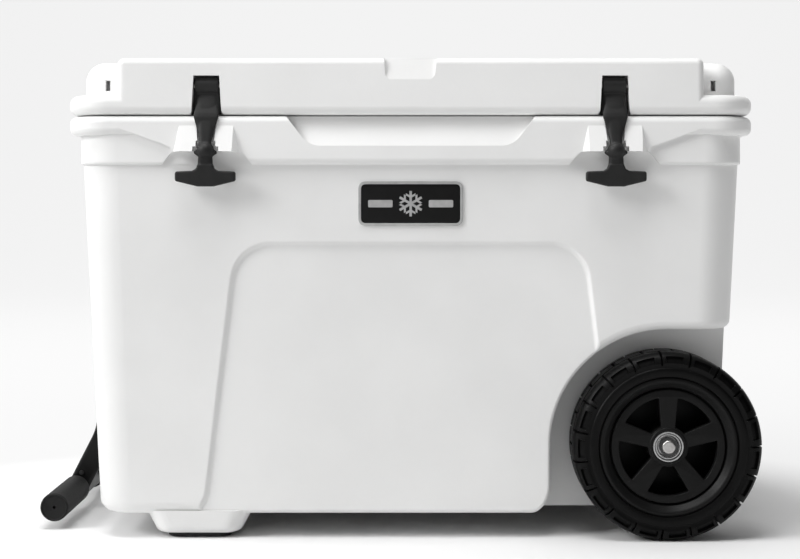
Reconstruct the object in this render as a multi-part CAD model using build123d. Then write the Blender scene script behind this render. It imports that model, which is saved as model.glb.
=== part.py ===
from build123d import *
import os
from math import atan2, cos, sin, tan

# A hard-sided, rotationally moulded ice chest on two wheels, in millimetres, +Z up.
# Latches face -Y, the wheels are at the +X end and the tow handle is at the -X end.
# Everything is drawn about the chest's own middle plane, X = 0. The handle reaches further
# out than the wheels do, so each part is written out moved by FRAME_X, which puts the origin
# under the middle of the whole object, on the ground.
FRAME_X = 16.0

# Heights above the ground
BASE_Z = 25.0
BAND_Z = 386.0
RIM_Z = 416.0
RIM_TOP_Z = 435.4
LID_Z = 436.6
FLANGE_TOP_Z = 457.0
TOP_Z = 494.0

# Half sizes of the chest in plan
BASE_HALF_X, BASE_HALF_Y = 325.0, 213.0
WALL_HALF_X, WALL_HALF_Y = 341.5, 228.5
BAND_HALF_X, BAND_HALF_Y = 343.5, 232.5
RIM_HALF_X, RIM_HALF_Y = 354.0, 236.5
BASE_CORNER, RIM_CORNER = 36.0, 42.0
BASE_ROUND = 14.0
RIM_ROUND = 7.0
FLANGE_ROUND = 8.5
SKIN = 4.0
WALL_LEAN = atan2(WALL_HALF_Y - BASE_HALF_Y, BAND_Z - BASE_Z)
END_LEAN = atan2(WALL_HALF_X - BASE_HALF_X, BAND_Z - BASE_Z)

# Ice chamber
CHAMBER_X = (-265.0, 212.0)
CHAMBER_HALF_Y = 137.0
CHAMBER_FLOOR_Z = 68.0
CHAMBER_CORNER = 34.0
CHAMBER_FLOOR_ROUND = 16.0

# Recessed panel on the front and the back
PANEL_TOP_Z = 307.0
PANEL_TOP_HALF = 180.0
PANEL_FOOT_HALF = 212.5
PANEL_FOOT_Z = 46.0
PANEL_CORNER = 42.0
PANEL_DEPTH = 3.5
PANEL_FLANK = 45.0
PANEL_LIP_ROUND, PANEL_FLOOR_ROUND = 3.0, 4.0

# Wheels and axle
AXLE_X, AXLE_Z = 264.0, 97.0
TYRE_RADIUS = 97.0
RIM_RADIUS = 71.5
WHEEL_FACE_Y = 231.0
WHEEL_BACK_Y = 164.0
AXLE_RADIUS = 7.0
AXLE_END_Y = 229.5
BEARING_RADIUS = 15.5
BEARING_WIDTH = 9.0
HUB_FACE_Y = 225.0
HUB_RADIUS = 21.0
SPOKES = 5
WELL_RADIUS = 119.5
WELL_WALL_Y = 158.0
WELL_FLARE, WELL_FLARE_DIP = 34.0, 5.0
WELL_ROUND = 9.0

# Latches and their keepers
LATCH_X = 208.0
LATCH_PIN_Y, LATCH_PIN_Z = -226.0, 466.5
LATCH_PIN_RADIUS = 2.5
BARREL_RADIUS = 9.5
BALL_Y, BALL_Z, BALL_RADIUS = -243.5, 399.5, 9.2
WEDGE_Z = (399.0, 426.0)
WEDGE_PROUD = 9.5

# Finger recess under the lid's front edge
RECESS_DEPTH, RECESS_CORNER = 13.0, 24.0

# Hinges along the rear edge
HINGE_X = 180.0
HINGE_Y, HINGE_Z = 236.0, 436.0
KNUCKLE_RADIUS = 8.5
HINGE_PIN_RADIUS = 3.15
KNUCKLE_HALF = 15.0
HINGE_HALF = 45.0

# Tow handle, hung from a rod across the -X end
PIVOT_X, PIVOT_Z = -344.0, 384.0
PIVOT_ROD_RADIUS = 5.0
ARM_Y = 35.0
ARM_THICK = 12.0
ARM_WIDE = 23.5
ARM_BEND_Z = 90.0
ARM_ROUND = 4.0
BAR_X, BAR_Z = -378.0, 23.7
BAR_RADIUS = 12.5
GRIP_RADIUS = 15.0
GRIP_Y = (46.0, 165.0)
CHANNEL_X = -330.5
CHANNEL_HALF_Y = 42.5

# Drain, through the -X end
DRAIN_Y, DRAIN_Z = 95.0, 80.0
DRAIN_RADIUS = 10.0
DRAIN_FACE_X = -322.0
DRAIN_FACE_RADIUS = 24.0

# Feet under the -X end
FOOT_X, FOOT_Y = -220.0, 176.0
FOOT_LOW_HALF, FOOT_HIGH_HALF, FOOT_ROUND = (43.0, 34.5), (56.0, 36.5), 8.0
PAD_SIZE, PAD_CORNER, PAD_THICK = (66.0, 52.0), 16.0, 5.0
SCREW_RADIUS = 2.2
SCREW_HEAD_RADIUS = 4.0

# Smaller details
CLIP_Y = 226.2
HINGE_SCREW_X = 36.0
HINGE_SCREW_RADIUS, HINGE_SCREW_HEAD = 2.0, 3.0
HINGE_HEAD_Y = (6.2, 8.0)
BUSH_RADIUS = 7.5
LUG_FACE_Y = CHANNEL_HALF_Y + 14
HANDLE_SCREW = (-373.0, 41.0)
HANDLE_SCREW_RADIUS, HANDLE_SCREW_HEAD = 1.6, 2.6
DRAIN_GASKET = 2.0
PLATE_Z = 346.0
PLATE_SIZE = (107.0, 45.5)

# Lid plan: the middle runs the full depth, the ends are notched at all four corners
MIDDLE_HALF_X = 299.0
END_HALF_X, END_HALF_Y = 342.0, 191.5
END_CORNER, END_ROUND = 21.0, 20.0
SLOT_X, SLOT_Z = (313.5, 318.5), (463.5, 474.5)

# Small gaps between parts that move on each other
RUNNING_GAP = 0.05
CLEAR = 0.5
UP = (Align.CENTER, Align.CENTER, Align.MIN)


def block(x, y, z):
    """A box between two corners, each direction given as (low, high)."""
    size = (x[1] - x[0], y[1] - y[0], z[1] - z[0])
    return Pos((x[0] + x[1]) / 2, (y[0] + y[1]) / 2, (z[0] + z[1]) / 2) * Box(*size)


def along_x(sketch, x0, x1):
    """Extrudes a sketch drawn in (Y, Z) from x0 to x1."""
    return extrude(Plane.YZ.offset(x0) * sketch, amount=x1 - x0)


def along_y(sketch, y0, y1):
    """Extrudes a sketch drawn in (X, Z) from y0 to y1."""
    return extrude(Plane.XZ.offset(-y1) * sketch, amount=y1 - y0)


def along_z(sketch, z0, z1):
    """Extrudes a sketch drawn in (X, Y) from z0 to z1."""
    return extrude(Pos(0, 0, z0) * sketch, amount=z1 - z0)


def polygon(*points):
    return make_face(Polyline(*points, close=True))


def disc(u, v, radius):
    return Pos(u, v) * Circle(radius)


def tube(u, v, outer, inner):
    return disc(u, v, outer) - disc(u, v, inner)


def both_sides(shape):
    """The shape and its mirror image across the XZ plane."""
    return shape + mirror(shape, Plane.XZ)


def both_ends(shape):
    """The shape and its mirror image across the YZ plane."""
    return shape + mirror(shape, Plane.YZ)


def slab(half_x, half_y, corner, z0, z1):
    return along_z(RectangleRounded(2 * half_x, 2 * half_y, corner), z0, z1)


def tapered(low_z, low_half, low_corner, high_z, high_half, high_corner):
    """A rounded box that widens upwards."""
    low = Pos(0, 0, low_z) * RectangleRounded(2 * low_half[0], 2 * low_half[1], low_corner)
    high = Pos(0, 0, high_z) * RectangleRounded(2 * high_half[0], 2 * high_half[1], high_corner)
    return loft([low, high])


def edges_at_z(shape, z):
    return shape.edges().filter_by(lambda e: abs(e.bounding_box().min.Z - z) < 0.01
                                   and abs(e.bounding_box().max.Z - z) < 0.01)


def wall_y(z):
    """How far out the front wall stands at a height."""
    return BASE_HALF_Y + (z - BASE_Z) * tan(WALL_LEAN)


def wall_x(z):
    """How far out the end wall stands at a height."""
    return BASE_HALF_X + (z - BASE_Z) * tan(END_LEAN)


def panel_cut():
    """The shallow recess in the front wall, with softly sloping flanks, open at the bottom."""
    plane = Plane(origin=(0, -wall_y(0), 0), x_dir=(1, 0, 0),
                  z_dir=(0, -cos(WALL_LEAN), -sin(WALL_LEAN)))
    flare = PANEL_FOOT_HALF + 8
    outline = polygon((-flare, -30), (-flare, 30), (-PANEL_FOOT_HALF, PANEL_FOOT_Z),
                      (-PANEL_TOP_HALF, PANEL_TOP_Z), (PANEL_TOP_HALF, PANEL_TOP_Z),
                      (PANEL_FOOT_HALF, PANEL_FOOT_Z), (flare, 30), (flare, -30))
    outline = fillet(outline.vertices().filter_by(lambda v: v.Y > PANEL_TOP_Z - 1), PANEL_CORNER)
    outline = fillet(outline.vertices().filter_by(lambda v: 20 < v.Y < PANEL_FOOT_Z + 1), 14)
    cut = extrude(plane * outline, amount=-PANEL_DEPTH, taper=PANEL_FLANK)
    floor = cut.faces().sort_by(SortBy.AREA)[-2:].sort_by(Axis.Y)[-1]
    cut = fillet(floor.edges().filter_by(lambda e: e.center().Z > 0), PANEL_FLOOR_ROUND)
    return cut + extrude(plane * outline, amount=1.0)


def on_front(edge):
    """True for an edge that lies in the sloping front or back wall's surface."""
    return all(abs(abs(edge.position_at(f).Y) - wall_y(edge.position_at(f).Z)) < 0.05
               for f in (0.1, 0.5, 0.9))


def is_panel_lip(edge):
    centre = edge.center()
    return on_front(edge) and abs(centre.X) < 216 and 40 < centre.Z < PANEL_TOP_Z + 2


def is_well_lip(edge):
    """True for an edge where a wheel well's arch breaks out through the wall."""
    box = edge.bounding_box()
    level = abs(box.max.Z - (AXLE_Z + WELL_RADIUS)) < 0.1
    rises = box.max.Z - box.min.Z > 2
    return (min(abs(box.min.Y), abs(box.max.Y)) > WELL_WALL_Y + 3 and abs(edge.center().Y) > 190
            and edge.center().X > 100 and box.max.Z < 220 and (level or rises))


def well_profile(grow=0.0):
    """The wheel well seen from the side: an arch that runs out level to the end wall, and
    flares outward where it meets the base."""
    radius = WELL_RADIUS + grow
    left, beyond = AXLE_X - radius, WALL_HALF_X + 60
    arch = disc(AXLE_X, AXLE_Z, radius)
    arch += polygon((AXLE_X, -20), (beyond, -20), (beyond, AXLE_Z + radius),
                    (AXLE_X, AXLE_Z + radius))
    arch += polygon((left, -20), (AXLE_X, -20), (AXLE_X, AXLE_Z), (left, AXLE_Z))
    centre, top = AXLE_X - WELL_RADIUS - WELL_FLARE, BASE_Z + WELL_FLARE - WELL_FLARE_DIP
    flare = polygon((centre, -20), (left + 1, -20), (left + 1, top), (centre, top))
    return arch + (flare - disc(centre, top, WELL_FLARE - grow))


def chamber(grow=0.0):
    """The ice chamber, or the skin around it when grown."""
    x0, x1 = CHAMBER_X[0] - grow, CHAMBER_X[1] + grow
    plan = Pos((x0 + x1) / 2, 0) * RectangleRounded(
        x1 - x0, 2 * (CHAMBER_HALF_Y + grow), CHAMBER_CORNER + grow)
    space = along_z(plan, CHAMBER_FLOOR_Z - grow, LID_Z)
    return fillet(edges_at_z(space, CHAMBER_FLOOR_Z - grow), CHAMBER_FLOOR_ROUND + grow)


def front_band():
    """The part of the band that is flush with the rim, bounded by a slanting edge each side."""
    outline = polygon((-300, 426), (-300, 424), (-245, 404), (-240, BAND_Z), (240, BAND_Z),
                      (245, 404), (300, 424), (300, 426))
    plate = along_y(outline, -RIM_HALF_Y, -BAND_HALF_Y + 8)
    lower = plate.edges().filter_by(lambda e: abs(e.center().Y + RIM_HALF_Y) < 0.01
                                    and e.center().Z < BAND_Z + 1)
    return fillet(lower, 6.5)


def keeper_arch(x):
    """The notch in the band's lower edge under a latch."""
    outline = polygon((x - 50, BAND_Z - 12), (x - 46, BAND_Z), (x - 36, WEDGE_Z[0]),
                      (x + 36, WEDGE_Z[0]), (x + 46, BAND_Z), (x + 50, BAND_Z - 12))
    outline = fillet(outline.vertices().filter_by(lambda v: v.Y > WEDGE_Z[0] - 1), 9)
    back = -wall_y(BAND_Z) - 0.6
    return along_y(outline, -RIM_HALF_Y - 2, back)


def keeper_wedge(x):
    """The raised block that a latch hooks under."""
    low, high = WEDGE_Z
    base = -RIM_HALF_Y + 4
    peak = -RIM_HALF_Y - WEDGE_PROUD - 1
    near = Plane.XZ.offset(-base) * polygon((x - 36, low), (x + 36, low), (x + 29, high + 4),
                                            (x - 29, high + 4))
    far = Plane.XZ.offset(-peak) * polygon((x - 26, low), (x + 26, low), (x + 20, high + 4),
                                           (x - 20, high + 4))
    slope = polygon((base, low), (-RIM_HALF_Y - WEDGE_PROUD, low),
                    (-RIM_HALF_Y + 0.2, high), (base, high))
    return loft([near, far]) & along_x(slope, x - 40, x + 40)


def keeper_groove(x):
    """The strap's groove through rim and wedge, and the socket that the ball swings out of."""
    low, high = WEDGE_Z[0] - 3, RIM_TOP_Z + 2
    front = polygon((x - 8.2, low), (x - 8.2, 406), (x - 11, high), (x + 11, high), (x + 8.2, 406),
                    (x + 8.2, low))
    depth = polygon((-262, low), (-238.5, low), (-238.5, 407), (-226.5, high), (-262, high))
    groove = along_y(front, -262, -222) & along_x(depth, x - 20, x + 20)
    swing = polygon((LATCH_PIN_Y, LATCH_PIN_Z), (-232.5, 380), (-262, 380), (-275, 420))
    ball = disc(LATCH_PIN_Y, LATCH_PIN_Z, 90) - disc(LATCH_PIN_Y, LATCH_PIN_Z, 58.8)
    wings = disc(LATCH_PIN_Y, LATCH_PIN_Z, 90) - disc(LATCH_PIN_Y, LATCH_PIN_Z, 65.0)
    return (groove + along_x(ball & swing, x - 10, x + 10)
            + along_x(wings & swing, x - 13.2, x + 13.2))


def lift_recess():
    """The finger recess under the front edge of the lid, deepest at the seam."""
    top, foot = RIM_TOP_Z + 1, 405.0
    outline = polygon((-128, top), (-104, foot), (104, foot), (128, top))
    outline = fillet(outline.vertices().filter_by(lambda v: v.Y < foot + 1), RECESS_CORNER)
    front = along_y(outline, -RIM_HALF_Y - 1, -RIM_HALF_Y + 19)
    depth = polygon((-RIM_HALF_Y - 2, top), (-RIM_HALF_Y + RECESS_DEPTH, top),
                    (-RIM_HALF_Y + RECESS_DEPTH - 3, top - 9), (-RIM_HALF_Y, foot),
                    (-RIM_HALF_Y - 2, foot))
    return front & along_x(depth, -140, 140)


def body_knuckles(x):
    """The outer pair of knuckles of one hinge, tied down into the rim."""
    ring = disc(HINGE_Y, HINGE_Z, KNUCKLE_RADIUS)
    tie = polygon((HINGE_Y - KNUCKLE_RADIUS, HINGE_Z), (HINGE_Y + KNUCKLE_RADIUS, HINGE_Z),
                  (HINGE_Y + KNUCKLE_RADIUS, HINGE_Z - 14), (HINGE_Y - 2, HINGE_Z - 36),
                  (HINGE_Y - KNUCKLE_RADIUS, HINGE_Z - 36))
    web = ring + tie
    left = along_x(web, x - HINGE_HALF, x - KNUCKLE_HALF - CLEAR)
    right = along_x(web, x + KNUCKLE_HALF + CLEAR, x + HINGE_HALF)
    return left + right


def lid_knuckle(x):
    ring = disc(HINGE_Y, HINGE_Z, KNUCKLE_RADIUS)
    tie = polygon((HINGE_Y - KNUCKLE_RADIUS, HINGE_Z), (HINGE_Y + KNUCKLE_RADIUS, HINGE_Z),
                  (HINGE_Y + KNUCKLE_RADIUS, HINGE_Z + 10), (HINGE_Y, HINGE_Z + 20),
                  (HINGE_Y - KNUCKLE_RADIUS, HINGE_Z + 20))
    return along_x(ring + tie, x - KNUCKLE_HALF, x + KNUCKLE_HALF)


def handle_lugs():
    """Two moulded cheeks that carry the pivot rod, one outside each arm."""
    gusset = polygon((PIVOT_X + 30, PIVOT_Z + 14), (PIVOT_X, PIVOT_Z + 12.5),
                     (PIVOT_X - 11.6, PIVOT_Z - 5), (PIVOT_X + 12, PIVOT_Z - 60),
                     (PIVOT_X + 30, PIVOT_Z - 60))
    cheek = gusset + disc(PIVOT_X, PIVOT_Z, 12.5)
    return both_sides(along_y(cheek, CHANNEL_HALF_Y, CHANNEL_HALF_Y + 14))


def foot():
    """A moulded foot under one corner of the base."""
    stub = tapered(PAD_THICK, FOOT_LOW_HALF, 20, BASE_Z + 4, FOOT_HIGH_HALF, 22)
    stub = fillet(edges_at_z(stub, PAD_THICK), FOOT_ROUND)
    return Pos(FOOT_X, -FOOT_Y, 0) * stub


def body_outside():
    """The chest's outer form before the chamber and the foam space are taken out."""
    wall = tapered(BASE_Z, (BASE_HALF_X, BASE_HALF_Y), BASE_CORNER,
                   BAND_Z + 10, (wall_x(BAND_Z + 10), wall_y(BAND_Z + 10)), RIM_CORNER)
    wall = fillet(edges_at_z(wall, BASE_Z), BASE_ROUND)
    wall -= both_sides(along_y(well_profile(), -RIM_HALF_Y - 20, -WELL_WALL_Y))
    wall = fillet(wall.edges().filter_by(is_well_lip), WELL_ROUND)
    wall -= both_sides(panel_cut())
    wall = fillet(wall.edges().filter_by(is_panel_lip), PANEL_LIP_ROUND)
    band = slab(BAND_HALF_X, BAND_HALF_Y, RIM_CORNER, BAND_Z, RIM_TOP_Z - 4)
    band = fillet(edges_at_z(band, BAND_Z), 3)
    rim = slab(RIM_HALF_X, RIM_HALF_Y, RIM_CORNER, RIM_Z, RIM_TOP_Z)
    rim = fillet(edges_at_z(rim, RIM_Z) + edges_at_z(rim, RIM_TOP_Z), RIM_ROUND)
    shape = wall + band + rim + both_sides(front_band())
    for x in (-LATCH_X, LATCH_X):
        shape -= keeper_arch(x)
        shape += keeper_wedge(x)
        shape -= keeper_groove(x)
    shape -= lift_recess()
    channel = fillet(block((-400, CHANNEL_X), (-CHANNEL_HALF_Y, CHANNEL_HALF_Y), (60, PIVOT_Z + 20))
                     .edges().filter_by(Axis.Y).group_by(Axis.X)[-1].group_by(Axis.Z)[-1], 12)
    shape = shape - channel + handle_lugs()
    shape += both_sides(foot())
    return shape


def body_holes():
    """Everything that is bored or cleared through the chest's skin."""
    holes = along_y(disc(AXLE_X, AXLE_Z, AXLE_RADIUS + RUNNING_GAP), -WELL_WALL_Y - 5,
                    WELL_WALL_Y + 5)
    holes += along_y(disc(PIVOT_X, PIVOT_Z, PIVOT_ROD_RADIUS + RUNNING_GAP), -62, 62)
    holes += both_sides(along_y(disc(PIVOT_X, PIVOT_Z, 9.5), LUG_FACE_Y, LUG_FACE_Y + 8))
    holes += along_x(disc(DRAIN_Y, DRAIN_Z, DRAIN_RADIUS + 0.4), -BASE_HALF_X - 20,
                     CHAMBER_X[0] + 5)
    holes += along_x(disc(DRAIN_Y, DRAIN_Z, DRAIN_FACE_RADIUS), -BASE_HALF_X - 20, DRAIN_FACE_X)
    for x in (-HINGE_X, HINGE_X):
        holes += along_x(disc(HINGE_Y, HINGE_Z, KNUCKLE_RADIUS + CLEAR), x - KNUCKLE_HALF - CLEAR,
                         x + KNUCKLE_HALF + CLEAR)
        holes += hinge_bore(x)
    for x, y in foot_screw_places():
        holes += Pos(x, y, PAD_THICK) * Cylinder(SCREW_RADIUS, 16, align=UP)
    return holes


def foam():
    """The insulation: the space between the skins, clear of every bore and recess."""
    low, high = BASE_Z + SKIN + 1, RIM_TOP_Z - 7
    inset = SKIN + PANEL_DEPTH + 2
    space = tapered(low, (wall_x(low) - inset, wall_y(low) - inset), BASE_CORNER - SKIN,
                     high, (wall_x(high) - inset - 6, wall_y(high) - inset - 2), RIM_CORNER - SKIN)
    space -= both_sides(along_y(well_profile(SKIN), -RIM_HALF_Y, -WELL_WALL_Y + SKIN))
    space -= chamber(SKIN)
    space -= along_y(disc(AXLE_X, AXLE_Z, AXLE_RADIUS + SKIN), -WELL_WALL_Y, WELL_WALL_Y)
    space -= along_x(disc(DRAIN_Y, DRAIN_Z, DRAIN_RADIUS + SKIN), -BASE_HALF_X, CHAMBER_X[0])
    half = CHANNEL_HALF_Y + 22
    return space - block((-400, CHANNEL_X + SKIN + 3), (-half, half), (120, 440))


def body_shell(insulation):
    shape = body_outside() - chamber()
    for x in (-HINGE_X, HINGE_X):
        shape += body_knuckles(x)
    return shape - body_holes() - insulation


def hinge_bore(x):
    """The pin's bore, blind at one end, and the hole for the screw that keeps the pin in."""
    bore = along_x(disc(HINGE_Y, HINGE_Z, HINGE_PIN_RADIUS + RUNNING_GAP), x - 42.2,
                   x + HINGE_HALF + 1)
    screw = along_y(disc(x + HINGE_SCREW_X, HINGE_Z, HINGE_SCREW_RADIUS), 228, 250)
    head = along_y(disc(x + HINGE_SCREW_X, HINGE_Z, HINGE_SCREW_HEAD), HINGE_Y + HINGE_HEAD_Y[0],
                   HINGE_Y + KNUCKLE_RADIUS + 1)
    return bore + screw + head


def hinge_pin(x):
    return along_x(disc(HINGE_Y, HINGE_Z, HINGE_PIN_RADIUS), x - 42, x + HINGE_SCREW_X - 3)


def hinge_pin_screws():
    screws = []
    for x in (-HINGE_X, HINGE_X):
        spot = disc(x + HINGE_SCREW_X, HINGE_Z, HINGE_SCREW_RADIUS)
        head = disc(x + HINGE_SCREW_X, HINGE_Z, HINGE_SCREW_HEAD)
        low, high = (HINGE_Y + offset for offset in HINGE_HEAD_Y)
        screws.append((along_y(spot, 228, low) + along_y(head, low, high)).solid())
    return Compound(screws)


def foot_screw_places():
    return [(FOOT_X + dx, dy) for dx in (-18, 18) for dy in (-FOOT_Y, FOOT_Y)]


def foot_pad(side):
    pad = along_z(RectangleRounded(*PAD_SIZE, PAD_CORNER), 0, PAD_THICK)
    pad = fillet(edges_at_z(pad, 0), 1.5)
    pad = Pos(FOOT_X, side * FOOT_Y, 0) * pad
    for x, y in foot_screw_places():
        pad -= Pos(x, y, 0) * Cylinder(SCREW_HEAD_RADIUS + 0.4, 3, align=UP)
        pad -= Pos(x, y, 0) * Cylinder(SCREW_RADIUS, PAD_THICK, align=UP)
    return pad


def foot_pad_screws():
    screws = []
    for x, y in foot_screw_places():
        head = Pos(x, y, 0.8) * Cylinder(SCREW_HEAD_RADIUS, 2.2, align=UP)
        screws.append((head + Pos(x, y, 3) * Cylinder(SCREW_RADIUS, 16, align=UP)).solid())
    return Compound(screws)


def nameplate():
    """A plate with a raised border, lying on the sloping front wall."""
    centre = Plane(origin=(0, -wall_y(PLATE_Z), PLATE_Z), x_dir=(1, 0, 0),
                   z_dir=(0, -cos(WALL_LEAN), -sin(WALL_LEAN)))
    plate = extrude(centre * RectangleRounded(*PLATE_SIZE, 5), amount=1.8)
    field = RectangleRounded(PLATE_SIZE[0] - 6, PLATE_SIZE[1] - 6, 3)
    return plate - extrude(centre.offset(1.2) * field, amount=2)


# Lid

def lid_pocket(x):
    """The pocket in the front edge that a latch's barrel turns in."""
    outline = polygon((x - 18, LID_Z - 3), (x - 15.2, LID_Z + 4), (x - 13.2, 476.5),
                      (x + 13.2, 476.5), (x + 15.2, LID_Z + 4), (x + 18, LID_Z - 3))
    return along_y(outline, -RIM_HALF_Y - 2, LATCH_PIN_Y + BARREL_RADIUS + 3)


def tie_down_slot():
    """A strap slot through the pillar at one corner of the lid: in from the notch, out at the
    end."""
    inward = block(SLOT_X, (-END_HALF_Y - 2, -END_HALF_Y + 28), SLOT_Z)
    outward = block((SLOT_X[0], RIM_HALF_X), (-END_HALF_Y + 18, -END_HALF_Y + 28), SLOT_Z)
    return both_ends(both_sides(inward + outward))


def lid_scoop():
    """The scoop in the middle of the front edge, deepest at the top."""
    top = TOP_Z + 2
    outline = polygon((-27, top), (-26, 472), (24, 472), (27, top))
    outline = fillet(outline.vertices().filter_by(lambda v: v.Y < 473), 8)
    depth = polygon((-RIM_HALF_Y - 2, top), (-RIM_HALF_Y + 6, top), (-RIM_HALF_Y, 472.5),
                    (-RIM_HALF_Y - 2, 472.5))
    return along_y(outline, -RIM_HALF_Y - 1, -RIM_HALF_Y + 10) & along_x(depth, -40, 40)


def lid_outside():
    flange = slab(RIM_HALF_X, RIM_HALF_Y, RIM_CORNER, LID_Z, FLANGE_TOP_Z)
    flange = fillet(edges_at_z(flange, LID_Z) + edges_at_z(flange, FLANGE_TOP_Z), FLANGE_ROUND)
    middle = slab(MIDDLE_HALF_X, RIM_HALF_Y, 7, FLANGE_TOP_Z - 12, TOP_Z)
    middle = fillet(edges_at_z(middle, TOP_Z), 6)
    ends = slab(END_HALF_X, END_HALF_Y, END_CORNER, FLANGE_TOP_Z - 6, TOP_Z)
    tops = edges_at_z(ends, TOP_Z).filter_by(lambda e: abs(e.center().X) > END_HALF_X - END_CORNER)
    ends = fillet(tops, END_ROUND)
    shape = flange + middle + ends
    shape -= lid_scoop()
    plan = Pos(sum(CHAMBER_X) / 2, 0) * RectangleRounded(
        CHAMBER_X[1] - CHAMBER_X[0] - 6, 2 * CHAMBER_HALF_Y - 6, CHAMBER_CORNER - 3)
    plug = along_z(plan, LID_Z - 12, LID_Z + 1)
    return shape + fillet(edges_at_z(plug, LID_Z - 12), 4)


def lid_foam():
    top = slab(284, 194, 30, LID_Z + 8, TOP_Z - 6)
    lower = block((CHAMBER_X[0] + 14, CHAMBER_X[1] - 14),
                  (-CHAMBER_HALF_Y + 14, CHAMBER_HALF_Y - 14), (LID_Z - 7, LID_Z + 9))
    return top + lower


def gasket_ring(z0, z1):
    x0, x1 = CHAMBER_X
    outer = Pos((x0 + x1) / 2, 0) * RectangleRounded(
        x1 - x0 + 38, 2 * CHAMBER_HALF_Y + 38, CHAMBER_CORNER + 19)
    inner = Pos((x0 + x1) / 2, 0) * RectangleRounded(
        x1 - x0 + 20, 2 * CHAMBER_HALF_Y + 20, CHAMBER_CORNER + 10)
    return along_z(outer - inner, z0, z1)


def lid_shell(insulation):
    shape = lid_outside()
    for x in (-LATCH_X, LATCH_X):
        shape -= lid_pocket(x)
        shape -= along_x(disc(LATCH_PIN_Y, LATCH_PIN_Z, LATCH_PIN_RADIUS + RUNNING_GAP),
                         x - 22.5, x + 22.5)
    for x in (-HINGE_X, HINGE_X):
        clear = disc(HINGE_Y, HINGE_Z, KNUCKLE_RADIUS + CLEAR)
        shape -= along_x(clear, x - HINGE_HALF - CLEAR, x - KNUCKLE_HALF)
        shape -= along_x(clear, x + KNUCKLE_HALF, x + HINGE_HALF + CLEAR)
        shape += lid_knuckle(x)
        shape -= along_x(disc(HINGE_Y, HINGE_Z, HINGE_PIN_RADIUS + RUNNING_GAP),
                         x - HINGE_HALF, x + HINGE_HALF)
    shape -= tie_down_slot()
    shape -= gasket_ring(LID_Z - 1, LID_Z + 4)
    return shape - insulation


# Latches

def latch(x):
    """A one-piece rubber latch: barrel, strap, ball, stem and T-shaped pull."""
    barrel = along_x(disc(LATCH_PIN_Y, LATCH_PIN_Z, BARREL_RADIUS), x - 12.3, x + 12.3)
    side = polygon((-229, 462), (-247, 405), (-247, 374), (-240, 374), (-240, 405), (-222, 462))
    front = polygon((-10, 462), (-8.6, 434), (-7, 406), (-7.2, 379), (-30.7, 379), (-30.7, 368.6),
                    (-8, 363), (8, 363), (30.7, 368.6), (30.7, 379), (7.2, 379), (7, 406),
                    (8.6, 434), (10, 462))
    inner = front.vertices().filter_by(lambda v: abs(abs(v.X) - 7.2) < 0.1)
    front = fillet(inner, 6)
    ends = front.vertices().filter_by(lambda v: abs(abs(v.X) - 30.7) < 0.1)
    front = Pos(x, 0) * fillet(ends, 2.2)
    strap = along_y(front, -262, -218) & along_x(side, x - 40, x + 40)
    pull = along_y(front, -249, -238.5) & block((x - 40, x + 40), (-260, -230), (360, 379.5))
    ball = Pos(x, BALL_Y, BALL_Z) * Sphere(BALL_RADIUS)
    spindle = polygon((-12.5, 0), (-6, 5), (6, 5), (12.5, 0))
    wings = Pos(x, BALL_Y, BALL_Z - 2) * revolve(spindle, Axis.X)
    bore = along_x(disc(LATCH_PIN_Y, LATCH_PIN_Z, LATCH_PIN_RADIUS + RUNNING_GAP), x - 13, x + 13)
    return barrel + strap + pull + ball + wings - bore


def latch_pin(x):
    return along_x(disc(LATCH_PIN_Y, LATCH_PIN_Z, LATCH_PIN_RADIUS), x - 22, x + 22)


# Wheels: drawn about Z with the outer face up, then stood on the axle

def on_axle(shape, side):
    placed = Pos(AXLE_X, 0, AXLE_Z) * Rot(90, 0, 0) * shape
    return placed if side < 0 else mirror(placed, Plane.XZ)


def turned(*points):
    """A solid of revolution about Z from (radius, height) points."""
    return revolve(Plane.XZ * polygon(*points), Axis.Z)


def tyre(side):
    face, back, r = WHEEL_FACE_Y, WHEEL_BACK_Y, TYRE_RADIUS
    ring = turned((RIM_RADIUS, back + 1), (RIM_RADIUS + 11, back), (r - 6, back + 2),
                  (r, back + 9), (r, face - 9), (r - 6, face - 2), (RIM_RADIUS + 11, face),
                  (RIM_RADIUS, face - 1))
    return on_axle(ring, side)


def wheel_rim(side):
    barrel = turned((60, HUB_FACE_Y), (61, WHEEL_FACE_Y - 1.5), (RIM_RADIUS, WHEEL_FACE_Y - 1.5),
                    (RIM_RADIUS, WHEEL_BACK_Y + 2), (RIM_RADIUS - 5, WHEEL_BACK_Y + 2),
                    (RIM_RADIUS - 6, HUB_FACE_Y - 10), (50, HUB_FACE_Y - 10), (50, HUB_FACE_Y))
    hub = along_z(Circle(HUB_RADIUS), WHEEL_BACK_Y + 1, HUB_FACE_Y)
    shape = barrel + hub
    spoke = polygon((HUB_RADIUS - 4, -7.3), (53, -9.3), (53, 9.3), (HUB_RADIUS - 4, 7.3))
    for number in range(SPOKES):
        turn = 90 + number * 360 / SPOKES
        shape += Rot(0, 0, turn) * along_z(spoke, HUB_FACE_Y - 10, HUB_FACE_Y - 1)
        web = polygon((HUB_RADIUS - 4, -3), (RIM_RADIUS - 5, -3), (RIM_RADIUS - 5, 3),
                      (HUB_RADIUS - 4, 3))
        shape += Rot(0, 0, turn) * along_z(web, WHEEL_BACK_Y + 14, HUB_FACE_Y - 9)
    shape += along_z(Circle(RIM_RADIUS - 4), WHEEL_BACK_Y + 6, WHEEL_BACK_Y + 9)
    pocket = along_z(Circle(BEARING_RADIUS), HUB_FACE_Y - BEARING_WIDTH, HUB_FACE_Y + 1)
    shape -= pocket
    shape -= along_z(Circle(BEARING_RADIUS), WHEEL_BACK_Y, WHEEL_BACK_Y + 1 + BEARING_WIDTH)
    shape -= along_z(Circle(AXLE_RADIUS + 2.5), WHEEL_BACK_Y, HUB_FACE_Y)
    return on_axle(shape, side)


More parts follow.
